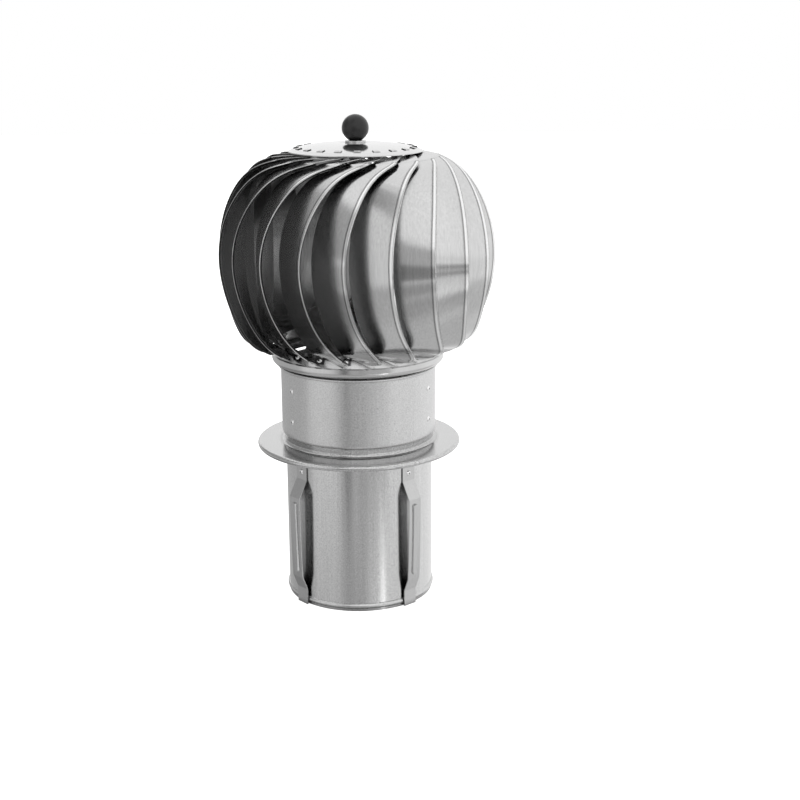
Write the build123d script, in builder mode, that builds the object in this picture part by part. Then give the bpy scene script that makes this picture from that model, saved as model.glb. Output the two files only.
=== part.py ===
"""Roof turbine ventilator for a 150 mm flue: fixed base with bow springs, spinning head with twenty vanes.

Millimetres, +Z up, origin at the centre of the spigot's lower edge. Azimuths are measured from
the front (-Y) towards +X.
"""

import os
from math import atan2, cos, degrees, radians, sin, sqrt

from build123d import *

os.makedirs("parts", exist_ok=True)

# driving dimensions
# sheet metal and fits
SHEET = 0.8  # spigot, flange, ring and cap sheet
SLIP = 0.02  # clearance between parts that are fixed to each other
HOLE_CLEARANCE = 0.1  # radial clearance of rivet and screw shanks

# spigot that enters the flue
SPIGOT_STEP = 3.5  # wall inside the collar's wall
SPIGOT_BEAD_HEIGHT = 5.2
SPIGOT_BEAD_RADIUS = 1.7
SPIGOT_RISE = 14.5  # above the flange

# collar, nominal size of the cowl
COLLAR_RADIUS = 75.0
COLLAR_SHEET = 1.0
COLLAR_RISE = 8.3  # lower edge above the flange
COLLAR_HEIGHT = 67.8
LIP_BEAD_RADIUS = 1.3
LIP_BEAD_OFFSET = 0.9  # bead centre outside the collar wall

# weather flange
FLANGE_RADIUS = 99.2
FLANGE_TOP = 155.5  # above the spigot's lower edge
FLANGE_RIM_RADIUS = 2.8  # rim rolled down
FLANGE_RIM_TURN = 170.0
FLANGE_NECK_RISE = 13.0
FLANGE_NECK_BEND = 4.5

# bow springs
SPRING_COUNT = 4
SPRING_AZIMUTH = 40.0
SPRING_WIDTH = 14.6
SPRING_SHEET = 1.0
SPRING_RIVET_DROP = 21.0  # below the flange
SPRING_TAB_ABOVE = 6.5  # tab above and below the rivet
SPRING_TAB_BELOW = 7.5
SPRING_SLOPE = 16.5
SPRING_BOW_BOTTOM = 29.0
SPRING_BOW_DEPTH = 10.3  # outer face outside the spigot at the upper end of the bow
SPRING_BOW_DRAFT = 2.0  # the lower end of the bow lies this much nearer to the spigot
SPRING_BOW_RISE = 0.5
SPRING_FOOT_TOP = 16.0
SPRING_FOOT_END = 0.2
SPRING_FOOT_GAP = 0.2  # between the foot and the spigot bead
SPRING_RIB_WIDTH = 6.2
SPRING_RIB_HEIGHT = 1.3
SPRING_RIB_LENGTH = 73.0
SPRING_RIB_TAPER = 18.0

# rivets
RIVET_SHANK = 1.6
RIVET_HEAD = 2.7
RIVET_RISE = 1.2
RIVET_EYE = 0.8  # round hollow in the middle of the head
RIVET_EYE_DEPTH = 0.7
SET_HEAD = 2.4

# bearing bracket
ARM_COUNT = 3
ARM_AZIMUTH = 62.5
ARM_WIDTH = 22.0
ARM_SHEET = 2.5
ARM_INSET = 8.2  # lower end above the collar's lower edge
ARM_BEND_DROP = 9.6  # bend below the collar's upper edge
ARM_SHELF_INSET = 4.0  # inside the plate's edge
ARM_END_RADIUS = 24.0
ARM_RIVET_INSET = 10.0
ARM_RIVET_STEP = 30.0
ARM_NOTCH_PLAY = 0.5
PLATE_RISE = 28.4  # above the collar
PLATE_DEPTH = 9.5
PLATE_SHEET = 2.5
PLATE_HOLE_RADIUS = 17.5
PLATE_SCREW_CIRCLE = 35.0
SCREW_SHANK = 2.5
SCREW_HEAD = 4.5
SCREW_HEAD_RISE = 3.0
SCREW_LENGTH = 14.0

# bearing housing
HOUSING_RADIUS = 50.0  # also the bracket plate's
HOUSING_HEIGHT = 22.0
HOUSING_WALL = 3.5
HOUSING_EDGE = 7.0
HUB_WALL = 4.5
HUB_DROP = 24.0  # below the bracket plate
HUB_SHOULDER_RADIUS = 9.6
SCREW_BOSS_RADIUS = 6.0
COVER_RADIUS = 14.0
COVER_SHEET = 2.0
COVER_SHAFT_GAP = 0.8

# ball bearings, 22 x 8 x 7
BEARING_OUTER = 11.0
BEARING_BORE = 4.0
BEARING_WIDTH = 7.0
OUTER_LAND = 9.2
INNER_LAND = 5.9
BALL_PITCH = 7.5
BALL_RADIUS = 1.985
BALL_COUNT = 7
RACE_CLEARANCE = 0.05  # running clearance between ball and groove
CAGE_WALL = 1.1
CAGE_HEIGHT = 5.0
POCKET_CLEARANCE = 0.08
LOWER_BEARING_INSET = 4.0  # lower face above the hub's lower end
UPPER_BEARING_DEPTH = 10.0  # lower face below the housing's top
CLIP_HEIGHT = 1.2
CLIP_WIDTH = 1.4
CLIP_GROOVE = 0.7
CLIP_GAP = 6.0

# shaft and its fittings
SHAFT_RADIUS = 6.0
SHAFT_TAIL = 8.5  # below the lower bearing
SPACER_RADIUS = 5.7
NUT_FLATS = 13.0
NUT_HEIGHT = 6.5
CAP_HUB_RADIUS = 15.0
CAP_HUB_HEIGHT = 6.0
SHAFT_CHAMFER = 0.6
CAP_HUB_CHAMFER = 1.0

# top cap
CAP_RADIUS = 63.0
HEAD_HEIGHT = 200.3  # from the bottom ring's lower edge to the cap's rim
CAP_DEPTH = 7.3
CAP_FLAT_RADIUS = 16.0
CAP_EDGE_RUN = 4.5  # turned shoulder at the rim
CAP_EDGE_RISE = 2.3

# knob
KNOB_RADIUS = 12.6
KNOB_SEAT = 11.38  # centre above the washer
WASHER_RADIUS = 9.7
WASHER_SHEET = 1.8
KNOB_HOLE_DEPTH = 13.0
KNOB_THREAD_END = 11.5

# bottom ring of the head
RUNNING_GAP = 2.0  # above the collar
RING_OVERHANG = 3.2  # lip outside the collar
RING_LIP_ARC = 5.0
RING_BAND_HEIGHT = 8.8
RING_SHOULDER_RUN = 0.9
RING_SHOULDER_RISE = 1.2
RING_CONE_RUN = 4.5
RING_CONE_RISE = 10.4

# vanes
VANE_COUNT = 20
VANE_PITCH = 360 / VANE_COUNT
VANE_START = -4.2  # azimuth of the first vane's outer edge at the equator
VANE_SHEET = 0.7
VANE_LAG = 17.4  # the inner edge trails the outer edge by this angle
INNER_DROP = 2.5  # inner edge below the outer edge at the cap
DROP_REACH = 25.9  # the inner edge starts to drop this far below the cap's rim
HEM_WIDTH = 4.4  # rolled edge, rounded on the outer face
HEM_THICKNESS = 2.3
HEM_EDGE = 0.8
# outer edge: radius, turn, height above the bottom ring's lower edge; inner edge's share of the radius
LOWER_EDGE = (
    (101.5, 15.9, 18.9, 0.845),
    (116.6, 9.5, 34.4, 0.838),
    (124.8, 3.9, 56.4, 0.83),
    (131.5, 0.4, 88.4, 0.82),
)
# further up: radius, turn, depth below the cap's rim; inner edge's share of the radius
UPPER_EDGE = (
    (131.0, 0.1, 78.9, 0.823),
    (122.5, 3.3, 48.9, 0.845),
    (109.3, 9.2, 25.9, 0.872),
    (96.2, 17.3, 12.9, 0.89),
    (80.3, 31.6, 4.5, 0.91),
)
NECK_EDGE = (
    (71.0, 39.0, 2.6, 0.91),
    (63.0, 45.9, 1.8, 0.913),
    (56.5, 51.0, 1.2, 0.915),
)
NOTCH_DEPTH = 1.2  # the hem stands this far outside the plain neck
TIP_OUTER = (96.0, 16.9, 16.0)
TIP_INNER = (86.5, 10.7, 13.6)
TAB_INSET = 6.0  # inside the cap's rim
TAB_TURN = 41.8
TAB_WIDTH = 6.0
TAB_FOLD = 4.0
TAB_DEPTH = 2.7  # root below the cap's rim
TAB_PLAY = 0.3
# foot flap on the cone of the ring, with its bend rising from the right end to the left end
FLAP_TURN = -4.0
FLAP_RISE = 6.3  # rivet centre above the foot of the cone
FLAP_HALF = 4.5
FLAP_LOW = 3.8  # below the rivet, along the cone
FLAP_BEND_RIGHT = 3.0
FLAP_BEND_LEFT = 6.2
FOOT_LAP = 0.6  # the blade's corner lies this far inside the flap's outline
WEB_SHARE = 0.35  # the bent web reaches up this share of the first blade panel
WEB_LAP = 1.5

# places that follow from these
spigot_radius = COLLAR_RADIUS - SPIGOT_STEP
spigot_top = FLANGE_TOP + SPIGOT_RISE
flange_neck_top = FLANGE_TOP + FLANGE_NECK_RISE
collar_bottom = FLANGE_TOP + COLLAR_RISE
collar_top = collar_bottom + COLLAR_HEIGHT
spring_rivet_height = FLANGE_TOP - SPRING_RIVET_DROP
spring_top = spring_rivet_height + SPRING_TAB_ABOVE
spring_tab_end = spring_rivet_height - SPRING_TAB_BELOW
spring_bow_top = spring_tab_end - SPRING_SLOPE
spring_bow_radius = spigot_radius + SPRING_BOW_DEPTH
arm_bottom = collar_bottom + ARM_INSET
arm_bend = collar_top - ARM_BEND_DROP
arm_shelf_radius = HOUSING_RADIUS - ARM_SHELF_INSET
arm_rivet_low = arm_bottom + ARM_RIVET_INSET
arm_rivet_heights = (arm_rivet_low, arm_rivet_low + ARM_RIVET_STEP)
bracket_top = collar_top + PLATE_RISE
housing_top = bracket_top + HOUSING_HEIGHT
hub_radius = BEARING_OUTER + HUB_WALL
hub_bottom = bracket_top - HUB_DROP
lower_bearing = hub_bottom + LOWER_BEARING_INSET
upper_bearing = housing_top - UPPER_BEARING_DEPTH
shaft_end = lower_bearing - SHAFT_TAIL
ring_bottom = collar_top + RUNNING_GAP
ring_lip_radius = COLLAR_RADIUS + RING_OVERHANG
ring_radius = ring_lip_radius + RING_LIP_ARC
ring_band_top = ring_bottom + RING_BAND_HEIGHT
ring_cone_bottom = ring_band_top + RING_SHOULDER_RISE
ring_cone_bottom_radius = ring_radius - RING_SHOULDER_RUN
ring_cone_top = ring_cone_bottom + RING_CONE_RISE
ring_cone_top_radius = ring_cone_bottom_radius - RING_CONE_RUN
cap_rim = ring_bottom + HEAD_HEIGHT
cap_crown = cap_rim + CAP_DEPTH
cap_shoulder = cap_rim + CAP_EDGE_RISE
cap_shoulder_radius = CAP_RADIUS - CAP_EDGE_RUN
flap_height = ring_cone_bottom + FLAP_RISE
tab_radius = CAP_RADIUS - TAB_INSET
tab_root = cap_rim - TAB_DEPTH


# helpers
def azimuth_plane(azimuth):
    """Upright plane through the axis: local x is the radius, local y is the height."""
    a = radians(azimuth)
    return Plane(origin=(0, 0, 0), x_dir=(sin(a), -cos(a), 0), z_dir=(-cos(a), -sin(a), 0))


def outward_plane(radius, azimuth, height, lean=0.0):
    """Plane on a wall facing outwards: local x is tangential, z points out and leans up."""
    a = radians(azimuth)
    b = radians(lean)
    out = (sin(a) * cos(b), -cos(a) * cos(b), sin(b))
    return Plane(
        origin=(radius * sin(a), -radius * cos(a), height), x_dir=(cos(a), sin(a), 0), z_dir=out
    )


def polar(radius, azimuth, height):
    a = radians(azimuth)
    return Vector(radius * sin(a), -radius * cos(a), height)


def save(solid, label):
    solid.label = label
    export_step(solid, f"parts/{label}.step")


UPRIGHT = azimuth_plane(0)

# spigot
spigot_inner = spigot_radius - SHEET
bead_low = SPIGOT_BEAD_HEIGHT - SPIGOT_BEAD_RADIUS * 1.5
bead_high = SPIGOT_BEAD_HEIGHT + SPIGOT_BEAD_RADIUS * 1.5
with BuildPart() as spigot:
    with BuildSketch(UPRIGHT):
        with BuildLine():
            Polyline((spigot_inner, 0), (spigot_radius, 0), (spigot_radius, bead_low))
            ThreePointArc(
                (spigot_radius, bead_low),
                (spigot_radius + SPIGOT_BEAD_RADIUS, SPIGOT_BEAD_HEIGHT),
                (spigot_radius, bead_high),
            )
            Polyline(
                (spigot_radius, bead_high),
                (spigot_radius, spigot_top),
                (spigot_inner, spigot_top),
                (spigot_inner, bead_high),
            )
            ThreePointArc(
                (spigot_inner, bead_high),
                (spigot_inner + SPIGOT_BEAD_RADIUS, SPIGOT_BEAD_HEIGHT),
                (spigot_inner, bead_low),
            )
            Line((spigot_inner, bead_low), (spigot_inner, 0))
        make_face()
    revolve(axis=Axis.Z)
    for i in range(SPRING_COUNT):
        with Locations(
            outward_plane(
                spigot_radius, SPRING_AZIMUTH + i * 360 / SPRING_COUNT, spring_rivet_height
            )
        ):
            Hole(RIVET_SHANK + HOLE_CLEARANCE, depth=3 * SHEET)
save(spigot.part, "spigot")

# flange
rim_centre = FLANGE_RADIUS - FLANGE_RIM_RADIUS
rim_height = FLANGE_TOP - FLANGE_RIM_RADIUS
plate_bottom = FLANGE_TOP - SHEET
neck_inner = spigot_radius + SLIP
neck_outer = neck_inner + SHEET
with BuildPart() as flange:
    with BuildSketch(UPRIGHT):
        with BuildLine():
            Line((rim_centre, plate_bottom), (neck_inner + FLANGE_NECK_BEND, plate_bottom))
            RadiusArc(
                (neck_inner + FLANGE_NECK_BEND, plate_bottom),
                (neck_inner, plate_bottom + FLANGE_NECK_BEND),
                FLANGE_NECK_BEND,
            )
            Polyline(
                (neck_inner, plate_bottom + FLANGE_NECK_BEND),
                (neck_inner, flange_neck_top),
                (neck_outer, flange_neck_top),
                (neck_outer, plate_bottom + FLANGE_NECK_BEND),
            )
            RadiusArc(
                (neck_outer, plate_bottom + FLANGE_NECK_BEND),
                (neck_outer + FLANGE_NECK_BEND - SHEET, FLANGE_TOP),
                -(FLANGE_NECK_BEND - SHEET),
            )
            Polyline(
                (neck_outer + FLANGE_NECK_BEND - SHEET, FLANGE_TOP),
                (rim_centre, FLANGE_TOP),
                (rim_centre, plate_bottom),
            )
        make_face()
        with BuildLine():
            roll = CenterArc((rim_centre, rim_height), FLANGE_RIM_RADIUS, 90, -FLANGE_RIM_TURN)
            inside = CenterArc((rim_centre, rim_height), FLANGE_RIM_RADIUS - SHEET, 90, -FLANGE_RIM_TURN)
            Line(roll @ 0, inside @ 0)
            Line(roll @ 1, inside @ 1)
        make_face()
    revolve(axis=Axis.Z)
save(flange.part, "flange")

# collar
collar_inner = COLLAR_RADIUS - COLLAR_SHEET
lip_centre = collar_top - LIP_BEAD_RADIUS
foot_inner = neck_outer + SLIP
foot_turn = COLLAR_RADIUS - foot_inner  # lower edge turned in to the flange's neck
with BuildPart() as collar:
    with BuildSketch(UPRIGHT):
        with BuildLine():
            Line((foot_inner, collar_bottom + COLLAR_SHEET), (foot_inner, collar_bottom))
            RadiusArc((foot_inner, collar_bottom), (COLLAR_RADIUS, collar_bottom + foot_turn), -foot_turn)
            Polyline(
                (COLLAR_RADIUS, collar_bottom + foot_turn),
                (COLLAR_RADIUS, lip_centre),
                (collar_inner, lip_centre),
                (collar_inner, collar_bottom + foot_turn),
            )
            RadiusArc(
                (collar_inner, collar_bottom + foot_turn),
                (foot_inner, collar_bottom + COLLAR_SHEET),
                foot_turn - COLLAR_SHEET,
            )
        make_face()
        with Locations((COLLAR_RADIUS + LIP_BEAD_OFFSET, lip_centre)):
            Circle(LIP_BEAD_RADIUS)
        with Locations(((collar_inner + COLLAR_RADIUS) / 2, lip_centre)):
            Rectangle(COLLAR_SHEET, LIP_BEAD_RADIUS)
    revolve(axis=Axis.Z)
    for i in range(ARM_COUNT):
        for height in arm_rivet_heights:
            with Locations(
                outward_plane(COLLAR_RADIUS, ARM_AZIMUTH + i * 360 / ARM_COUNT, height)
            ):
                Hole(RIVET_SHANK + HOLE_CLEARANCE, depth=3 * COLLAR_SHEET)
save(collar.part, "collar")

# bow springs
tab_inner = spigot_radius + SLIP
spring_foot_inner = spigot_radius + SPIGOT_BEAD_RADIUS + SPRING_FOOT_GAP
spring_bow_low_radius = spring_bow_radius - SPRING_BOW_DRAFT
bow_middle = (spring_bow_top + SPRING_BOW_BOTTOM) / 2
bow_middle_radius = (spring_bow_radius + spring_bow_low_radius) / 2
bow_lean = degrees(atan2(SPRING_BOW_DRAFT, spring_bow_top - SPRING_BOW_BOTTOM))
with BuildPart() as bow_spring:
    with BuildSketch(UPRIGHT):
        with BuildLine():
            Polyline(
                (tab_inner, spring_tab_end),
                (tab_inner, spring_top),
                (tab_inner + SPRING_SHEET, spring_top),
                (tab_inner + SPRING_SHEET, spring_tab_end),
                (spring_bow_radius, spring_bow_top),
            )
            ThreePointArc(
                (spring_bow_radius, spring_bow_top),
                (bow_middle_radius + SPRING_BOW_RISE, bow_middle),
                (spring_bow_low_radius, SPRING_BOW_BOTTOM),
            )
            Polyline(
                (spring_bow_low_radius, SPRING_BOW_BOTTOM),
                (spring_foot_inner + SPRING_SHEET, SPRING_FOOT_TOP),
                (spring_foot_inner + SPRING_SHEET, SPRING_FOOT_END),
                (spring_foot_inner, SPRING_FOOT_END),
                (spring_foot_inner, SPRING_FOOT_TOP),
                (spring_bow_low_radius - SPRING_SHEET, SPRING_BOW_BOTTOM),
            )
            ThreePointArc(
                (spring_bow_low_radius - SPRING_SHEET, SPRING_BOW_BOTTOM),
                (bow_middle_radius - SPRING_SHEET + SPRING_BOW_RISE, bow_middle),
                (spring_bow_radius - SPRING_SHEET, spring_bow_top),
            )
            Line((spring_bow_radius - SPRING_SHEET, spring_bow_top), (tab_inner, spring_tab_end))
        make_face()
    extrude(amount=SPRING_WIDTH / 2, both=True)
    # pressed rib down the middle of the bow
    with BuildSketch(outward_plane(bow_middle_radius - SPRING_SHEET / 2, 0, bow_middle, -bow_lean)):
        SlotOverall(SPRING_RIB_LENGTH, SPRING_RIB_WIDTH, rotation=90)
    extrude(amount=SPRING_SHEET / 2 + SPRING_BOW_RISE + SPRING_RIB_HEIGHT, taper=SPRING_RIB_TAPER)
    with Locations(outward_plane(tab_inner + SPRING_SHEET, 0, spring_rivet_height)):
        Hole(RIVET_SHANK + HOLE_CLEARANCE, depth=2 * SPRING_SHEET)
for i in range(SPRING_COUNT):
    turned = bow_spring.part.rotate(Axis.Z, SPRING_AZIMUTH + i * 360 / SPRING_COUNT)
    save(turned, f"bow_spring_{i + 1}")


def seat_rise(radius, half_width):
    """How far a flat face stands off the inside of a round wall for its edges to clear the wall."""
    return radius - sqrt(radius**2 - half_width**2)


def rivet(grip, plane):
    """Blind rivet: domed head on the given plane, shank inwards through the grip, set head behind."""
    head_sphere = (RIVET_HEAD**2 + RIVET_RISE**2) / (2 * RIVET_RISE)
    arc_start, arc_middle = [
        (r, RIVET_RISE - head_sphere + sqrt(head_sphere**2 - r**2))
        for r in (RIVET_EYE, (RIVET_EYE + RIVET_HEAD) / 2)
    ]
    eye_floor = RIVET_RISE - RIVET_EYE_DEPTH
    with BuildPart(mode=Mode.PRIVATE) as one:
        with BuildSketch(Plane.XZ):
            with BuildLine():
                Polyline((0, -grip - SHEET), (0, eye_floor), (RIVET_EYE, eye_floor), arc_start)
                ThreePointArc(arc_start, arc_middle, (RIVET_HEAD, 0))
                Polyline(
                    (RIVET_HEAD, 0),
                    (RIVET_SHANK, 0),
                    (RIVET_SHANK, -grip),
                    (SET_HEAD, -grip),
                    (SET_HEAD, -grip - SHEET),
                    (0, -grip - SHEET),
                )
            make_face()
        revolve(axis=Axis.Z)
    return plane.location * one.part


# spring rivets
spring_grip = SPRING_SHEET + SHEET + 3 * SLIP + seat_rise(spigot_inner, SET_HEAD)
spring_rivet_radius = tab_inner + SPRING_SHEET + SLIP
spring_rivets = Part() + [
    rivet(
        spring_grip,
        outward_plane(
            spring_rivet_radius, SPRING_AZIMUTH + i * 360 / SPRING_COUNT, spring_rivet_height
        ),
    )
    for i in range(SPRING_COUNT)
]
save(spring_rivets, "spring_rivets")

# bearing bracket arms
arm_outer = collar_inner - SLIP - seat_rise(collar_inner, ARM_WIDTH / 2)
arm_top = bracket_top - PLATE_SHEET - SLIP
with BuildPart() as arm:
    with BuildSketch(UPRIGHT):
        with BuildLine():
            Polyline(
                (arm_outer, arm_bottom),
                (arm_outer, arm_bend),
                (arm_shelf_radius, arm_top),
                (ARM_END_RADIUS, arm_top),
                (ARM_END_RADIUS, arm_top - ARM_SHEET),
                (arm_shelf_radius - ARM_SHEET / 2, arm_top - ARM_SHEET),
                (arm_outer - ARM_SHEET, arm_bend - ARM_SHEET / 2),
                (arm_outer - ARM_SHEET, arm_bottom),
                close=True,
            )
        make_face()
    extrude(amount=ARM_WIDTH / 2, both=True)
    for height in arm_rivet_heights:
        with Locations(outward_plane(arm_outer, 0, height)):
            Hole(RIVET_SHANK + HOLE_CLEARANCE, depth=2 * ARM_SHEET)
    with Locations(Plane(origin=polar(PLATE_SCREW_CIRCLE, 0, arm_top))):
        Hole(SCREW_SHANK + HOLE_CLEARANCE, depth=2 * ARM_SHEET)
for i in range(ARM_COUNT):
    save(arm.part.rotate(Axis.Z, ARM_AZIMUTH + i * 360 / ARM_COUNT), f"bearing_arm_{i + 1}")

arm_grip = COLLAR_RADIUS + SLIP - (arm_outer - ARM_SHEET - SLIP)
arm_rivets = Part() + [
    rivet(
        arm_grip,
        outward_plane(COLLAR_RADIUS + SLIP, ARM_AZIMUTH + i * 360 / ARM_COUNT, height),
    )
    for i in range(ARM_COUNT)
    for height in arm_rivet_heights
]
save(arm_rivets, "arm_rivets")

# bracket plate
plate_low = bracket_top - PLATE_DEPTH
with BuildPart() as bracket_plate:
    with BuildSketch(UPRIGHT):
        with BuildLine():
            Polyline(
                (PLATE_HOLE_RADIUS, bracket_top),
                (HOUSING_RADIUS, bracket_top),
                (HOUSING_RADIUS, plate_low),
                (HOUSING_RADIUS - PLATE_SHEET, plate_low),
                (HOUSING_RADIUS - PLATE_SHEET, bracket_top - PLATE_SHEET),
                (PLATE_HOLE_RADIUS, bracket_top - PLATE_SHEET),
                close=True,
            )
        make_face()
    revolve(axis=Axis.Z)
    # the arms leave through notches in the turned-down edge
    for i in range(ARM_COUNT):
        notch = outward_plane(HOUSING_RADIUS, ARM_AZIMUTH + i * 360 / ARM_COUNT, plate_low)
        with BuildSketch(notch):
            Rectangle(ARM_WIDTH + 2 * ARM_NOTCH_PLAY, 2 * (PLATE_DEPTH - PLATE_SHEET))
        extrude(amount=-2 * PLATE_SHEET, mode=Mode.SUBTRACT)
        with Locations(
            Plane(origin=polar(PLATE_SCREW_CIRCLE, ARM_AZIMUTH + i * 360 / ARM_COUNT, bracket_top))
        ):
            Hole(SCREW_SHANK + HOLE_CLEARANCE, depth=2 * PLATE_SHEET)
save(bracket_plate.part, "bracket_plate")

# bearing housing
housing_low = bracket_top + SLIP
lower_seat_top = lower_bearing + BEARING_WIDTH
clip_top = lower_bearing - SLIP
clip_low = clip_top - CLIP_HEIGHT
with BuildPart() as bearing_housing:
    with BuildSketch(UPRIGHT):
        with BuildLine():
            Polyline(
                (hub_radius, hub_bottom),
                (hub_radius, housing_top - HOUSING_WALL),
                (HOUSING_RADIUS - HOUSING_EDGE, housing_top - HOUSING_WALL),
            )
            RadiusArc(
                (HOUSING_RADIUS - HOUSING_EDGE, housing_top - HOUSING_WALL),
                (HOUSING_RADIUS - HOUSING_WALL, housing_top - HOUSING_EDGE),
                HOUSING_EDGE - HOUSING_WALL,
            )
            Polyline(
                (HOUSING_RADIUS - HOUSING_WALL, housing_top - HOUSING_EDGE),
                (HOUSING_RADIUS - HOUSING_WALL, housing_low),
                (HOUSING_RADIUS, housing_low),
                (HOUSING_RADIUS, housing_top - HOUSING_EDGE),
            )
            RadiusArc(
                (HOUSING_RADIUS, housing_top - HOUSING_EDGE),
                (HOUSING_RADIUS - HOUSING_EDGE, housing_top),
                -HOUSING_EDGE,
            )
            Polyline(
                (HOUSING_RADIUS - HOUSING_EDGE, housing_top),
                (BEARING_OUTER + SLIP, housing_top),
                (BEARING_OUTER + SLIP, upper_bearing - SLIP),
                (HUB_SHOULDER_RADIUS, upper_bearing - SLIP),
                (HUB_SHOULDER_RADIUS, lower_seat_top + SLIP),
                (BEARING_OUTER + SLIP, lower_seat_top + SLIP),
                (BEARING_OUTER + SLIP, clip_top + SLIP / 2),
                (BEARING_OUTER + CLIP_GROOVE, clip_top + SLIP / 2),
                (BEARING_OUTER + CLIP_GROOVE, clip_low - SLIP),
                (BEARING_OUTER + SLIP, clip_low - SLIP),
                (BEARING_OUTER + SLIP, hub_bottom),
                (hub_radius, hub_bottom),
            )
        make_face()
    revolve(axis=Axis.Z)
    # screw bosses inside the bell
    for i in range(ARM_COUNT):
        with BuildSketch(
            Plane(origin=polar(PLATE_SCREW_CIRCLE, ARM_AZIMUTH + i * 360 / ARM_COUNT, housing_low))
        ):
            Circle(SCREW_BOSS_RADIUS)
        extrude(amount=housing_top - HOUSING_WALL - housing_low)
    for i in range(ARM_COUNT):
        with BuildSketch(
            Plane(origin=polar(PLATE_SCREW_CIRCLE, ARM_AZIMUTH + i * 360 / ARM_COUNT, housing_low))
        ):
            Circle(SCREW_SHANK + SLIP)
        extrude(amount=SCREW_LENGTH, mode=Mode.SUBTRACT)
save(bearing_housing.part, "bearing_housing")

# housing screws
screw_seat = arm_top - ARM_SHEET - SLIP
with BuildPart() as housing_screw:
    with BuildSketch(Plane(origin=(0, 0, screw_seat))):
        RegularPolygon(SCREW_HEAD, 6)
    extrude(amount=-SCREW_HEAD_RISE)
    with BuildSketch(Plane(origin=(0, 0, screw_seat))):
        Circle(SCREW_SHANK)
    extrude(amount=SCREW_LENGTH)
housing_screws = Part() + [
    Pos(polar(PLATE_SCREW_CIRCLE, ARM_AZIMUTH + i * 360 / ARM_COUNT, 0)) * housing_screw.part
    for i in range(ARM_COUNT)
]
save(housing_screws, "housing_screws")

# bearing cover
cover_spigot = housing_top - upper_bearing - BEARING_WIDTH
with BuildPart() as bearing_cover:
    with BuildSketch(Plane(origin=(0, 0, housing_top + SLIP))):
        Circle(COVER_RADIUS)
    extrude(amount=COVER_SHEET)
    with BuildSketch(Plane(origin=(0, 0, housing_top + SLIP))):
        Circle(BEARING_OUTER - SLIP)
    extrude(amount=-cover_spigot)
    edge = bearing_cover.edges().filter_by(GeomType.CIRCLE).sort_by(Axis.Z)[-1]
    chamfer(edge, COVER_SHEET / 3)
    with BuildSketch(Plane(origin=(0, 0, housing_top + SLIP))):
        Circle(SHAFT_RADIUS + COVER_SHAFT_GAP)
    extrude(amount=COVER_SHEET, mode=Mode.SUBTRACT)
    with BuildSketch(Plane(origin=(0, 0, housing_top + SLIP))):
        Circle(OUTER_LAND)
    extrude(amount=-cover_spigot, mode=Mode.SUBTRACT)
save(bearing_cover.part, "bearing_cover")


# ball bearings
def bearing_parts(low):
    """Outer ring, inner ring, balls and cage of one bearing whose lower face is at this height."""
    middle = low + BEARING_WIDTH / 2
    groove = BALL_RADIUS + RACE_CLEARANCE
    with BuildPart(mode=Mode.PRIVATE) as outer:
        with BuildSketch(UPRIGHT):
            with Locations(((OUTER_LAND + BEARING_OUTER) / 2, middle)):
                Rectangle(BEARING_OUTER - OUTER_LAND, BEARING_WIDTH)
            with Locations((BALL_PITCH, middle)):
                Circle(groove, mode=Mode.SUBTRACT)
        revolve(axis=Axis.Z)
    with BuildPart(mode=Mode.PRIVATE) as inner:
        with BuildSketch(UPRIGHT):
            with Locations(((BEARING_BORE + SLIP + INNER_LAND) / 2, middle)):
                Rectangle(INNER_LAND - BEARING_BORE - SLIP, BEARING_WIDTH)
            with Locations((BALL_PITCH, middle)):
                Circle(groove, mode=Mode.SUBTRACT)
        revolve(axis=Axis.Z)
    with BuildPart(mode=Mode.PRIVATE) as cage:
        with BuildSketch(Plane(origin=(0, 0, middle - CAGE_HEIGHT / 2))):
            Circle(BALL_PITCH + CAGE_WALL / 2)
            Circle(BALL_PITCH - CAGE_WALL / 2, mode=Mode.SUBTRACT)
        extrude(amount=CAGE_HEIGHT)
        for i in range(BALL_COUNT):
            with Locations(outward_plane(BALL_PITCH + CAGE_WALL, 90 + i * 360 / BALL_COUNT, middle)):
                Hole(BALL_RADIUS + POCKET_CLEARANCE, depth=2 * CAGE_WALL)
    with BuildPart(mode=Mode.PRIVATE) as balls:
        with Locations((0, 0, middle)):
            with PolarLocations(BALL_PITCH, BALL_COUNT):
                Sphere(BALL_RADIUS)
    return outer.part, inner.part, cage.part, balls.part


for side, low in (("lower", lower_bearing), ("upper", upper_bearing)):
    outer_ring, inner_ring, ball_cage, ball_set = bearing_parts(low)
    save(outer_ring, f"{side}_bearing_outer_ring")
    save(inner_ring, f"{side}_bearing_inner_ring")
    save(ball_cage, f"{side}_bearing_cage")
    save(ball_set, f"{side}_bearing_balls")

# retaining clip below the lower bearing
with BuildPart() as retaining_clip:
    with BuildSketch(Plane(origin=(0, 0, clip_low))):
        Circle(BEARING_OUTER + CLIP_GROOVE - SLIP)
        Circle(BEARING_OUTER - CLIP_WIDTH, mode=Mode.SUBTRACT)
        with Locations((0, -BEARING_OUTER)):
            Rectangle(CLIP_GAP, 4 * CLIP_WIDTH, mode=Mode.SUBTRACT)
    extrude(amount=CLIP_HEIGHT)
save(retaining_clip.part, "retaining_clip")

# spacer between the inner rings
with BuildPart() as bearing_spacer:
    with BuildSketch(Plane(origin=(0, 0, lower_seat_top + SLIP))):
        Circle(SPACER_RADIUS)
        Circle(BEARING_BORE + SLIP, mode=Mode.SUBTRACT)
    extrude(amount=upper_bearing - lower_seat_top - 2 * SLIP)
save(bearing_spacer.part, "bearing_spacer")

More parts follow.
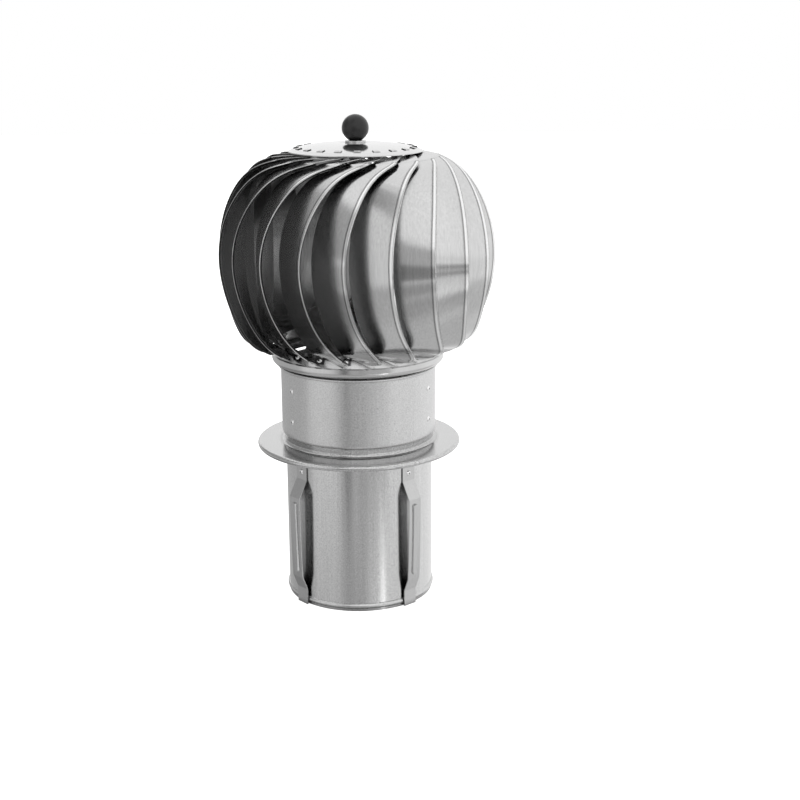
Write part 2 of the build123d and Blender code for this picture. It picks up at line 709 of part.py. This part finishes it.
# shaft
shoulder = upper_bearing + BEARING_WIDTH + SLIP
cap_hub_top = cap_crown - SHEET - SLIP
cap_hub_low = cap_hub_top - CAP_HUB_HEIGHT
washer_top = cap_crown + SLIP + WASHER_SHEET
knob_centre = washer_top + KNOB_SEAT
with BuildPart() as shaft:
    with BuildSketch(Plane(origin=(0, 0, shaft_end))):
        Circle(BEARING_BORE)
    extrude(amount=washer_top + KNOB_THREAD_END - shaft_end)
    chamfer(shaft.edges().filter_by(GeomType.CIRCLE), SHAFT_CHAMFER)
    with BuildSketch(Plane(origin=(0, 0, shoulder))):
        Circle(SHAFT_RADIUS)
    extrude(amount=cap_hub_low - SLIP - shoulder)
save(shaft.part, "shaft")

# nut under the lower bearing
with BuildPart() as shaft_nut:
    with BuildSketch(Plane(origin=(0, 0, lower_bearing - SLIP))):
        RegularPolygon(NUT_FLATS / 2, 6, major_radius=False)
        Circle(BEARING_BORE + SLIP, mode=Mode.SUBTRACT)
    extrude(amount=-NUT_HEIGHT)
save(shaft_nut.part, "shaft_nut")

# hub under the cap
with BuildPart() as cap_hub:
    with BuildSketch(Plane(origin=(0, 0, cap_hub_top))):
        Circle(CAP_HUB_RADIUS)
        Circle(BEARING_BORE + SLIP, mode=Mode.SUBTRACT)
    extrude(amount=-CAP_HUB_HEIGHT)
    lower_edges = cap_hub.edges().filter_by(GeomType.CIRCLE).sort_by(Axis.Z)[0:2]
    chamfer(lower_edges.sort_by(SortBy.RADIUS)[-1], CAP_HUB_CHAMFER)
save(cap_hub.part, "cap_hub")

# top cap
dome_run = cap_shoulder_radius - CAP_FLAT_RADIUS
dome_fall = cap_crown - cap_shoulder
dome_sphere = (dome_run**2 + dome_fall**2) / (2 * dome_fall)


def dome_height(radius):
    """Height of the dome's outer face at a radius outside the flat."""
    return cap_crown - dome_sphere + sqrt(dome_sphere**2 - (radius - CAP_FLAT_RADIUS) ** 2)


tab_slot_middle = tab_radius + VANE_SHEET / 2
with BuildPart() as top_cap:
    with BuildSketch(UPRIGHT):
        with BuildLine():
            bore = BEARING_BORE + HOLE_CLEARANCE
            Line((bore, cap_crown), (CAP_FLAT_RADIUS, cap_crown))
            TangentArc(
                (CAP_FLAT_RADIUS, cap_crown), (cap_shoulder_radius, cap_shoulder), tangent=(1, 0)
            )
            Polyline(
                (cap_shoulder_radius, cap_shoulder),
                (CAP_RADIUS, cap_rim),
                (CAP_RADIUS, cap_rim - SHEET),
                (cap_shoulder_radius, cap_shoulder - SHEET),
            )
            TangentArc(
                (CAP_FLAT_RADIUS, cap_crown - SHEET),
                (cap_shoulder_radius, cap_shoulder - SHEET),
                tangent=(1, 0),
            )
            Polyline(
                (CAP_FLAT_RADIUS, cap_crown - SHEET), (bore, cap_crown - SHEET), (bore, cap_crown)
            )
        make_face()
    revolve(axis=Axis.Z)
    for i in range(VANE_COUNT):
        slot = Plane(origin=polar(tab_slot_middle, VANE_START + TAB_TURN + i * VANE_PITCH, cap_rim))
        with BuildSketch(slot.rotated((0, 0, VANE_START + TAB_TURN + i * VANE_PITCH))):
            Rectangle(TAB_WIDTH + 2 * TAB_PLAY, VANE_SHEET + 2 * TAB_PLAY)
        extrude(amount=cap_crown - cap_rim, mode=Mode.SUBTRACT)
save(top_cap.part, "top_cap")

# knob washer
with BuildPart() as knob_washer:
    with BuildSketch(Plane(origin=(0, 0, cap_crown + SLIP))):
        Circle(WASHER_RADIUS)
        Circle(BEARING_BORE + HOLE_CLEARANCE, mode=Mode.SUBTRACT)
    extrude(amount=WASHER_SHEET - SLIP)
save(knob_washer.part, "knob_washer")

# ball knob, flat where it bears on the washer
with BuildPart() as ball_knob:
    with BuildSketch(UPRIGHT):
        with BuildLine():
            flat_radius = sqrt(KNOB_RADIUS**2 - KNOB_SEAT**2)
            Polyline(
                (0, knob_centre + KNOB_RADIUS),
                (0, washer_top + KNOB_HOLE_DEPTH),
                (BEARING_BORE + SLIP, washer_top + KNOB_HOLE_DEPTH),
                (BEARING_BORE + SLIP, washer_top),
                (flat_radius, washer_top),
            )
            ThreePointArc(
                (flat_radius, washer_top),
                (KNOB_RADIUS, knob_centre),
                (0, knob_centre + KNOB_RADIUS),
            )
        make_face()
    revolve(axis=Axis.Z)
save(ball_knob.part, "ball_knob")

# bottom ring: lip, rounded band and a cone that carries the vane feet
cone_lean = degrees(atan2(RING_CONE_RUN, RING_CONE_RISE))


def cone_radius(height):
    return ring_cone_bottom_radius - RING_CONE_RUN * (height - ring_cone_bottom) / RING_CONE_RISE


with BuildPart() as bottom_ring:
    with BuildSketch(UPRIGHT):
        with BuildLine():
            Line((ring_lip_radius - SHEET, ring_bottom), (ring_lip_radius, ring_bottom))
            RadiusArc(
                (ring_lip_radius, ring_bottom), (ring_radius, ring_bottom + RING_LIP_ARC), -RING_LIP_ARC
            )
            Polyline(
                (ring_radius, ring_bottom + RING_LIP_ARC),
                (ring_radius, ring_band_top),
                (ring_cone_bottom_radius, ring_cone_bottom),
                (ring_cone_top_radius, ring_cone_top),
                (ring_cone_top_radius - SHEET, ring_cone_top),
                (ring_cone_bottom_radius - SHEET, ring_cone_bottom - SHEET / 2),
                (ring_radius - SHEET, ring_band_top - SHEET / 2),
                (ring_radius - SHEET, ring_bottom + RING_LIP_ARC),
            )
            RadiusArc(
                (ring_lip_radius - SHEET, ring_bottom + SHEET),
                (ring_radius - SHEET, ring_bottom + RING_LIP_ARC),
                -(RING_LIP_ARC - SHEET),
            )
            Line((ring_lip_radius - SHEET, ring_bottom + SHEET), (ring_lip_radius - SHEET, ring_bottom))
        make_face()
    revolve(axis=Axis.Z)
    for i in range(VANE_COUNT):
        with Locations(
            outward_plane(
                cone_radius(flap_height),
                VANE_START + FLAP_TURN + i * VANE_PITCH,
                flap_height,
                cone_lean,
            )
        ):
            Hole(RIVET_SHANK + HOLE_CLEARANCE, depth=3 * SHEET)
save(bottom_ring.part, "bottom_ring")


# vanes
def head_point(radius, turn, rise):
    """Point at a rise above the lower edge of the bottom ring."""
    return polar(radius, turn, ring_bottom + rise)


def inner_point(radius, turn, rise, share):
    """Point of the trailing edge that belongs to a point of the hemmed edge."""
    drop = INNER_DROP * max(0, 1 - (HEAD_HEIGHT - rise) / DROP_REACH)
    return head_point(radius * share, turn - VANE_LAG, rise - drop)


def from_rim(edge):
    """The same edge with its depths below the cap's rim turned into heights above the ring's lower edge."""
    return tuple((radius, turn, HEAD_HEIGHT - depth, share) for radius, turn, depth, share in edge)


def section_plane(inner, outer, along):
    """Plane across the vane: x from the trailing edge to the hem, y out of the vane's outer face."""
    across = (outer - inner).normalized()
    normal = along.cross(across).normalized()
    return Plane(origin=inner, x_dir=across, z_dir=across.cross(normal))


def hem_section(width):
    """Sheet with its outer edge rolled back on the outer face."""
    Polyline(
        (width - HEM_WIDTH, VANE_SHEET), (0, VANE_SHEET), (0, 0), (width - HEM_EDGE, 0), (width, HEM_EDGE)
    )
    ThreePointArc(
        (width - HEM_WIDTH, VANE_SHEET), (width - HEM_WIDTH / 2, HEM_THICKNESS), (width, HEM_EDGE)
    )


outer_edge = LOWER_EDGE + from_rim(UPPER_EDGE)
neck_edge = from_rim(NECK_EDGE)
outer_points = [head_point(*p[:3]) for p in outer_edge]
inner_points = [inner_point(*p) for p in outer_edge]
flap_plane = outward_plane(cone_radius(flap_height), FLAP_TURN, flap_height, cone_lean).offset(SLIP)
inner_points[0] = flap_plane.from_local_coords(
    Vector(FLAP_HALF - FOOT_LAP, FLAP_BEND_RIGHT - FOOT_LAP, VANE_SHEET / 2)
)
neck_outer_points = [head_point(*p[:3]) for p in neck_edge]
neck_inner_points = [inner_point(*p) for p in neck_edge]
all_outer = outer_points + neck_outer_points
all_inner = inner_points + neck_inner_points


def along_at(i):
    """Direction of the vane's length at a station."""
    low = max(0, i - 1)
    high = min(len(all_outer) - 1, i + 1)
    return (all_outer[high] + all_inner[high]) - (all_outer[low] + all_inner[low])


last_hem = len(outer_points) - 1
with BuildPart() as vane:
    # hemmed blade
    for i in range(len(outer_points)):
        with BuildSketch(section_plane(all_inner[i], all_outer[i], along_at(i))):
            with BuildLine():
                hem_section((all_outer[i] - all_inner[i]).length)
            make_face()
    loft()
    # clipped lower tip
    tip_inner, tip_outer = head_point(*TIP_INNER), head_point(*TIP_OUTER)
    for low, high in ((all_inner[0], all_outer[0]), (tip_inner, tip_outer)):
        with BuildSketch(section_plane(low, high, along_at(0))):
            with BuildLine():
                hem_section((high - low).length)
            make_face()
    loft(ruled=True)
    # plain neck that runs under the cap
    for i in range(last_hem, len(all_outer)):
        width = (all_outer[i] - all_inner[i]).length - NOTCH_DEPTH
        with BuildSketch(section_plane(all_inner[i], all_outer[i], along_at(i))):
            with Locations((width / 2, VANE_SHEET / 2)):
                Rectangle(width, VANE_SHEET)
    loft()
    # foot flap that lies on the cone of the ring
    with BuildSketch(flap_plane):
        with BuildLine():
            Polyline(
                (-FLAP_HALF, -FLAP_LOW),
                (FLAP_HALF, -FLAP_LOW),
                (FLAP_HALF, FLAP_BEND_RIGHT),
                (-FLAP_HALF, FLAP_BEND_LEFT),
                close=True,
            )
        make_face()
    extrude(amount=VANE_SHEET)
    # web that bends from the flap into the blade
    bend_left = flap_plane.from_local_coords(Vector(-FLAP_HALF, FLAP_BEND_LEFT - FOOT_LAP, VANE_SHEET / 2))
    bend_right = all_inner[0]
    blade_low = bend_right + (all_outer[0] - bend_right).normalized() * WEB_LAP
    blade_high = all_inner[0] + (all_inner[1] - all_inner[0]) * WEB_SHARE
    blade_high_lap = blade_high + (all_outer[0] - bend_right).normalized() * WEB_LAP
    web_plane = Plane(
        origin=bend_right,
        x_dir=bend_left - bend_right,
        z_dir=(blade_high - bend_right).cross(bend_left - bend_right),
    )
    with BuildSketch(web_plane):
        with BuildLine():
            Polyline(
                *[
                    (web_plane.to_local_coords(p).X, web_plane.to_local_coords(p).Y)
                    for p in (bend_left, bend_right, blade_low, blade_high_lap, blade_high)
                ],
                close=True,
            )
        make_face()
    extrude(amount=-VANE_SHEET)
    # tab through the cap, folded down on the dome
    with BuildSketch(azimuth_plane(TAB_TURN)):
        with BuildLine():
            Polyline(
                (tab_radius, tab_root),
                (tab_radius + VANE_SHEET, tab_root),
                (tab_radius + VANE_SHEET, dome_height(tab_radius) + SLIP + VANE_SHEET),
                (tab_radius, dome_height(tab_radius) + SLIP + VANE_SHEET),
                (tab_radius - TAB_FOLD, dome_height(tab_radius - TAB_FOLD) + SLIP + VANE_SHEET),
                (tab_radius - TAB_FOLD, dome_height(tab_radius - TAB_FOLD) + SLIP),
                (tab_radius, dome_height(tab_radius) + SLIP),
                close=True,
            )
        make_face()
    extrude(amount=TAB_WIDTH / 2, both=True)
    with Locations(flap_plane.offset(2 * VANE_SHEET)):
        Hole(RIVET_SHANK + HOLE_CLEARANCE, depth=3 * VANE_SHEET)
for i in range(VANE_COUNT):
    save(vane.part.rotate(Axis.Z, VANE_START + i * VANE_PITCH), f"vane_{i + 1:02d}")

# vane rivets
vane_grip = VANE_SHEET + SHEET + 4 * SLIP + seat_rise(ring_cone_top_radius, SET_HEAD)
vane_rivets = Part() + [
    rivet(
        vane_grip,
        outward_plane(
            cone_radius(flap_height),
            VANE_START + FLAP_TURN + i * VANE_PITCH,
            flap_height,
            cone_lean,
        ).offset(2 * SLIP + VANE_SHEET),
    )
    for i in range(VANE_COUNT)
]
save(vane_rivets, "vane_rivets")
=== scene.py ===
"""Looks of the roof turbine ventilator: finishes of its pieces, room light, floor and camera."""

from math import cos, pi, radians, sin

import bpy
from mathutils import Matrix, Vector

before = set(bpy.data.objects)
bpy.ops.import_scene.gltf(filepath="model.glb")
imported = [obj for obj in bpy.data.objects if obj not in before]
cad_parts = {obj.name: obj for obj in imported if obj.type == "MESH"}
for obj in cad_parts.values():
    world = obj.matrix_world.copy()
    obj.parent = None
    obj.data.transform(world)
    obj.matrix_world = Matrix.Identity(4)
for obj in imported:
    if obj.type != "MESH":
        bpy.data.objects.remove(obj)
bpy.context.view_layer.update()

# camera: place in metres, lens and sensor in millimetres, fitted to the round edges of the object
CAMERA_PLACE = Vector((0.0, -1.3012, 0.5461))
CAMERA_YAW = radians(1.785)  # towards +X
CAMERA_PITCH = radians(15.234)  # downwards
CAMERA_ROLL = radians(-0.257)
CAMERA_LENS = 61.9
SENSOR_WIDTH = 36.0
CLIP_NEAR = 0.05
CLIP_FAR = 50.0

FLOOR_SIZE = 12.0
FLOOR_GREY = 0.8
FLOOR_GLOW = 0.85  # towards the camera, so that it is white apart from the object's shadow

# noise of the finishes: features per metre across and along the axis, and detail
GRAIN = (900.0, 900.0, 2.0)
STREAKS = (700.0, 14.0, 3.0)
CLOUDS = (28.0, 12.0, 3.0)
DENTS = (22.0, 9.0, 1.0)
GLOSS = (400.0, 400.0, 2.0)
DENT_DEPTH = 0.002
ROUGH_SHARE = 0.5  # of the tone's variation that the metal's roughness follows
GLOSS_SHARE = 0.2  # of the gloss noise that the plastic's roughness follows

# painted shade in the narrow gaps between sheets, told by the share of open directions within reach
CREVICE_REACH = 0.012
CREVICE_DARK = 0.35  # the painted shade is darkest up to this share
CREVICE_OPEN = 0.7  # and ends at this one
CREVICE_SHADE = 0.12  # part of the reflection left where the painted shade is darkest
CREVICE_SAMPLES = 4

# blades: painted shade on the inside and on the cut edges, told by how far the surface looks away
# from the head's middle, as a cosine, which is negative on the inside
HEAD_MIDDLE = (0.0, 0.0, 0.335)
EDGE_COSINE = 0.3  # up to this size it is a cut edge
FACE_COSINE = 0.5  # and from this size on the outside or the inside
EDGE_SHADE = 0.06  # painted shade: part of the reflection on an edge, which both faces get as well
INNER_SHADE = 0.45  # painted shade: part that the inside gets

# hem of a blade: a painted shade line where the sheet is folded over, and a painted highlight on
# the bead, told by the share of inward directions that stay in the metal over the hem's depth
HEM_DEPTH = 0.002
HEM_SAMPLES = 8
SHEET_DEEP = 0.24  # share in the plain sheet
BEAD_DEEP = 0.72  # share in the bead
HEM_SOFT = 0.14  # width of the change between them
# painted shade on the fold's line and painted highlight on the bead
LINE_SHADE = 0.3
BEAD_HIGHLIGHT = 1.4
TONE_LIMIT = 0.95

# room: brightness of the ceiling, and panels painted over it one after the other, each with its
# middle azimuth from the camera's side towards the right, half width, lowest and highest elevation,
# soft edge across and soft edge upwards (all in degrees), and brightness
CEILING = 1.0
PANELS = {
    "left wall": (-50, 27, -90, 95, 14, 12, 0.8),
    "left skirting": (-52, 25, -95, -22, 14, 8, 0.52),
    "dark corner": (-112, 36, 0, 44, 12, 10, 0.4),
    "ceiling gap": (-34, 11, 46, 76, 8, 10, 0.25),
    "left low": (-130, 52, -22, -2, 16, 8, 0.5),
    "left floor": (-128, 50, -95, -22, 16, 8, 0.28),
    "right front": (26, 20, -34, -2, 8, 8, 0.75),
    "right side": (70, 26, -34, -8, 14, 10, 0.9),
    "front curtain": (-12, 20, -22, 14, 12, 10, 0.5),
    "curtain foot": (-18, 5, -20, -6, 5, 4, 0.1),
    "curtain hem": (-9, 20, -34, -22, 12, 6, 0.36),
    "side low": (88, 50, -48, -26, 24, 8, 0.62),
    "front low": (0, 36, -60, -34, 20, 6, 0.42),
    "bright edge": (36, 4, -34, -23, 4, 4, 2.6),
    "floor": (0, 400, -120, -50, 30, 14, 0.58),
    "upper sill": (28, 22, -8, -5, 6, 2, 1.0),
    "upper gap": (22, 22, -13, -9, 6, 2, 0.28),
    "lower gap": (22, 22, -19, -15, 6, 1.5, 0.3),
    "lower sill": (8, 34, -21, -20, 6, 1.2, 0.8),
}


def grey(value):
    """Opaque neutral colour."""
    return (value, value, value, 1.0)


class Shader:
    """Emptied node tree of a material or the world, with short calls to add and join nodes."""

    def __init__(self, tree):
        self.nodes = tree.nodes
        self.links = tree.links
        self.nodes.clear()

    def add(self, kind, inputs=None, **settings):
        """New node, with each input linked to a socket or set to a value."""
        node = self.nodes.new(kind)
        for key, value in settings.items():
            setattr(node, key, value)
        for key, value in (inputs or {}).items():
            if isinstance(value, bpy.types.NodeSocket):
                self.links.new(value, node.inputs[key])
            else:
                node.inputs[key].default_value = value
        return node

    def math(self, operation, *values):
        inputs = dict(enumerate(values))
        return self.add("ShaderNodeMath", inputs, operation=operation).outputs[0]

    def vector_math(self, operation, *vectors):
        inputs = dict(enumerate(vectors))
        return self.add("ShaderNodeVectorMath", inputs, operation=operation).outputs

    def mix(self, share, first, second):
        """First value where the share is 0, second value where it is 1."""
        return self.add("ShaderNodeMix", {0: share, 2: first, 3: second}).outputs[0]

    def mix_shaders(self, share, first, second):
        return self.add("ShaderNodeMixShader", {0: share, 1: first, 2: second}).outputs[0]

    def step(self, value, low, high):
        """Soft step from 0 at the low value to 1 at the high value."""
        inputs = {"Value": value, "From Min": low, "From Max": high}
        return self.add("ShaderNodeMapRange", inputs, interpolation_type="SMOOTHSTEP").outputs[0]

    def noise(self, place, across, along, detail):
        """Noise around zero."""
        stretch = {0: place, "Scale": (across, across, along)}
        stretched = self.add("ShaderNodeMapping", stretch).outputs[0]
        inputs = {"Vector": stretched, "Scale": 1.0, "Detail": detail}
        value = self.add("ShaderNodeTexNoise", inputs).outputs["Fac"]
        return self.math("SUBTRACT", value, 0.5)


def new_material(name):
    material = bpy.data.materials.new(name)
    material.use_nodes = True
    return material, Shader(material.node_tree)


def place_camera():
    """Camera at the photo's viewpoint."""
    level = cos(CAMERA_PITCH)
    forward = Vector((sin(CAMERA_YAW) * level, cos(CAMERA_YAW) * level, -sin(CAMERA_PITCH)))
    level_right = forward.cross(Vector((0, 0, 1))).normalized()
    level_up = level_right.cross(forward)
    right = level_right * cos(CAMERA_ROLL) + level_up * sin(CAMERA_ROLL)
    up = level_up * cos(CAMERA_ROLL) - level_right * sin(CAMERA_ROLL)
    data = bpy.data.cameras.new("camera")
    data.lens = CAMERA_LENS
    data.sensor_width = SENSOR_WIDTH
    data.sensor_fit = "HORIZONTAL"
    data.clip_start = CLIP_NEAR
    data.clip_end = CLIP_FAR
    camera = bpy.data.objects.new("camera", data)
    bpy.context.scene.collection.objects.link(camera)
    turn = Matrix((right, up, -forward)).transposed()
    camera.matrix_world = Matrix.Translation(CAMERA_PLACE) @ turn.to_4x4()
    bpy.context.scene.camera = camera


def cover(room, azimuth, elevation, middle, half_width, low, high, edge, lift):
    """1 where the direction meets the panel, 0 elsewhere, soft at the panel's edges."""
    aside = room.math("WRAP", room.math("SUBTRACT", azimuth, radians(middle)), pi, -pi)
    away = room.math("ABSOLUTE", aside)
    across = room.step(away, radians(half_width + edge / 2), radians(half_width - edge / 2))
    above = room.step(elevation, radians(low - lift / 2), radians(low + lift / 2))
    below = room.step(elevation, radians(high + lift / 2), radians(high - lift / 2))
    return room.math("MULTIPLY", room.math("MULTIPLY", above, below), across)


def light_room():
    """Soft room light for the object, and plain white where the camera looks past it."""
    world = bpy.data.worlds.new("room")
    bpy.context.scene.world = world
    world.use_nodes = True
    room = Shader(world.node_tree)
    direction = room.add("ShaderNodeTexCoord").outputs["Generated"]
    axes = room.add("ShaderNodeSeparateXYZ", {0: direction}).outputs
    azimuth = room.math("ARCTAN2", axes["X"], room.math("MULTIPLY", axes["Y"], -1.0))
    elevation = room.math("ARCSINE", axes["Z"])
    light = CEILING
    for *panel, brightness in PANELS.values():
        light = room.mix(cover(room, azimuth, elevation, *panel), light, brightness)
    lit = room.add("ShaderNodeBackground", {"Color": light}).outputs[0]
    plain = room.add("ShaderNodeBackground", {"Color": grey(1.0)}).outputs[0]
    seen = room.add("ShaderNodeLightPath").outputs["Is Camera Ray"]
    room.add("ShaderNodeOutputWorld", {"Surface": room.mix_shaders(seen, lit, plain)})


def lay_floor():
    """Pale floor that takes the object's shadow; the metal sees the room's light in its place."""
    bpy.ops.mesh.primitive_plane_add(size=FLOOR_SIZE, location=(0, 0, 0))
    floor = bpy.context.object
    floor.name = "floor"
    material, paint = new_material("floor_paint")
    matt = paint.add("ShaderNodeBsdfDiffuse", {"Color": grey(FLOOR_GREY)}).outputs[0]
    path = paint.add("ShaderNodeLightPath").outputs
    strength = paint.math("MULTIPLY", path["Is Camera Ray"], FLOOR_GLOW)
    glow = paint.add("ShaderNodeEmission", {"Color": grey(1.0), "Strength": strength}).outputs[0]
    painted = paint.add("ShaderNodeAddShader", {0: matt, 1: glow}).outputs[0]
    clear = paint.add("ShaderNodeBsdfTransparent").outputs[0]
    surface = paint.mix_shaders(path["Is Glossy Ray"], painted, clear)
    paint.add("ShaderNodeOutputMaterial", {"Surface": surface})
    floor.data.materials.append(material)


def crevice_painted_shade(steel):
    """Part of the reflection left by the painted shade in narrow gaps."""
    reach = {"Distance": CREVICE_REACH}
    near = steel.add("ShaderNodeAmbientOcclusion", reach, samples=CREVICE_SAMPLES).outputs["AO"]
    return steel.mix(steel.step(near, CREVICE_DARK, CREVICE_OPEN), CREVICE_SHADE, 1.0)


def side_painted_shade(steel, place, normal):
    """Part of the reflection that a blade's outside keeps, with painted shade on its inside and cut
    edges.
    """
    centred = steel.vector_math("SUBTRACT", place, HEAD_MIDDLE)[0]
    outward = steel.vector_math("NORMALIZE", centred)[0]
    facing = steel.vector_math("DOT_PRODUCT", outward, normal)["Value"]
    outside = steel.step(facing, EDGE_COSINE, FACE_COSINE)
    inside = steel.step(facing, -EDGE_COSINE, -FACE_COSINE)
    faces = steel.math("ADD", steel.math("MULTIPLY", inside, INNER_SHADE), outside)
    return steel.math("ADD", faces, EDGE_SHADE)


def hem_painted_shade_and_highlight(steel):
    """Gain of a blade's reflection: painted shade on the line and painted highlight on the bead of
    its hem.
    """
    thick = steel.add(
        "ShaderNodeAmbientOcclusion",
        {"Distance": HEM_DEPTH},
        samples=HEM_SAMPLES,
        inside=True,
        only_local=True,
    ).outputs["AO"]
    past_sheet = steel.step(thick, SHEET_DEEP, SHEET_DEEP + HEM_SOFT)
    bead = steel.step(thick, BEAD_DEEP - HEM_SOFT, BEAD_DEEP)
    lined = steel.mix(steel.math("SUBTRACT", past_sheet, bead), 1.0, LINE_SHADE)
    return steel.mix(bead, lined, BEAD_HIGHLIGHT)


def around_axis(steel, place):
    """Direction around the object's upright axis."""
    flow = steel.vector_math("CROSS_PRODUCT", (0, 0, 1), place)[0]
    return steel.add(
        "ShaderNodeVectorTransform",
        {0: flow},
        vector_type="VECTOR",
        convert_from="OBJECT",
        convert_to="WORLD",
    ).outputs[0]


def metal(
    name,
    colour,
    roughness,
    grain=0.0,
    streaks=0.0,
    clouds=0.0,
    waves=0.0,
    anisotropy=0.0,
    blade=False,
):
    """Bare sheet metal.

    Grain is fine and even, streaks run along the axis, clouds are broad and waves are dents of the
    sheet. Anisotropy draws the highlights out around the axis. A blade has painted shade on its
    edges and inside, and a hem with a painted shade line and a painted highlight on its bead. Every
    metal has painted shade in narrow gaps.
    """
    material, steel = new_material(name)
    where = steel.add("ShaderNodeTexCoord").outputs
    place = where["Object"]
    fine = steel.math("MULTIPLY", steel.noise(place, *GRAIN), grain)
    lines = steel.math("MULTIPLY", steel.noise(place, *STREAKS), streaks)
    broad = steel.math("MULTIPLY", steel.noise(place, *CLOUDS), clouds)
    uneven = steel.math("ADD", steel.math("ADD", fine, lines), broad)
    tone = steel.math("MULTIPLY", steel.math("ADD", uneven, 1.0), colour)
    # painted shade in narrow gaps between sheets, on every metal
    tone = steel.math("MULTIPLY", tone, crevice_painted_shade(steel))
    if blade:
        # painted shade on the blade's inside and cut edges
        tone = steel.math("MULTIPLY", tone, side_painted_shade(steel, place, where["Normal"]))
        # painted shade line and painted highlight on the hem's bead
        tone = steel.math("MULTIPLY", tone, hem_painted_shade_and_highlight(steel))
        tone = steel.math("MINIMUM", tone, TONE_LIMIT)
    rough = steel.math("MULTIPLY", uneven, ROUGH_SHARE * roughness)
    dents = {"Strength": waves, "Distance": DENT_DEPTH, "Height": steel.noise(place, *DENTS)}
    surface = {
        "Base Color": steel.add("ShaderNodeCombineColor", {0: tone, 1: tone, 2: tone}).outputs[0],
        "Roughness": steel.math("ADD", rough, roughness),
        "Metallic": 1.0,
        "Anisotropic": anisotropy,
        "Tangent": around_axis(steel, place),
        "Normal": steel.add("ShaderNodeBump", dents).outputs[0],
    }
    shader = steel.add("ShaderNodeBsdfPrincipled", surface).outputs[0]
    steel.add("ShaderNodeOutputMaterial", {"Surface": shader})
    return material


def plastic(name, colour, roughness):
    """Moulded plastic with a slightly uneven gloss."""
    material, skin = new_material(name)
    place = skin.add("ShaderNodeTexCoord").outputs["Object"]
    uneven = skin.math("MULTIPLY", skin.noise(place, *GLOSS), GLOSS_SHARE)
    surface = {"Base Color": grey(colour), "Roughness": skin.math("ADD", uneven, roughness)}
    shader = skin.add("ShaderNodeBsdfPrincipled", surface).outputs[0]
    skin.add("ShaderNodeOutputMaterial", {"Surface": shader})
    return material


def dress(material, nodes):
    """The CAD nodes get this finish alone."""
    for node in nodes:
        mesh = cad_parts[node].data
        mesh.materials.clear()
        mesh.materials.append(material)


place_camera()
light_room()
lay_floor()

vane_sheet = metal(
    "vane_sheet",
    0.64,
    0.18,
    grain=0.05,
    streaks=0.3,
    clouds=0.2,
    waves=0.08,
    anisotropy=0.75,
    blade=True,
)
ring_sheet = metal("ring_sheet", 0.66, 0.2, grain=0.1, streaks=0.1, clouds=0.05)
collar_sheet = metal("collar_sheet", 0.67, 0.3, grain=0.7, streaks=0.12, clouds=0.06, waves=0.05)
spigot_sheet = metal("spigot_sheet", 0.64, 0.2, grain=0.6, streaks=0.2, clouds=0.06, waves=0.05)
flange_sheet = metal("flange_sheet", 0.6, 0.18, grain=1.2, clouds=0.05)
spring_strip = metal("spring_strip", 0.6, 0.25, grain=0.2, streaks=0.1)
cap_sheet = metal("cap_sheet", 0.76, 0.12, grain=0.1, clouds=0.08)
bright_rivet = metal("bright_rivet", 0.95, 0.16, grain=0.1)
black_plastic = plastic("black_plastic", 0.012, 0.32)
dull_steel = metal("dull_steel", 0.3, 0.4, grain=0.2, clouds=0.1)

vanes = [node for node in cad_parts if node.startswith("vane_") and node != "vane_rivets"]
springs = [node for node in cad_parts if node.startswith("bow_spring_")]
finishes = (
    (vane_sheet, vanes),
    (ring_sheet, ["bottom_ring"]),
    (collar_sheet, ["collar"]),
    (spigot_sheet, ["spigot"]),
    (flange_sheet, ["flange"]),
    (spring_strip, springs),
    (cap_sheet, ["top_cap"]),
    (bright_rivet, ["spring_rivets", "arm_rivets", "vane_rivets", "knob_washer"]),
    (black_plastic, ["ball_knob"]),
)
inner_pieces = set(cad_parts)
for material, nodes in finishes:
    dress(material, nodes)
    inner_pieces -= set(nodes)
dress(dull_steel, sorted(inner_pieces))

bpy.context.scene.view_settings.view_transform = "Standard"
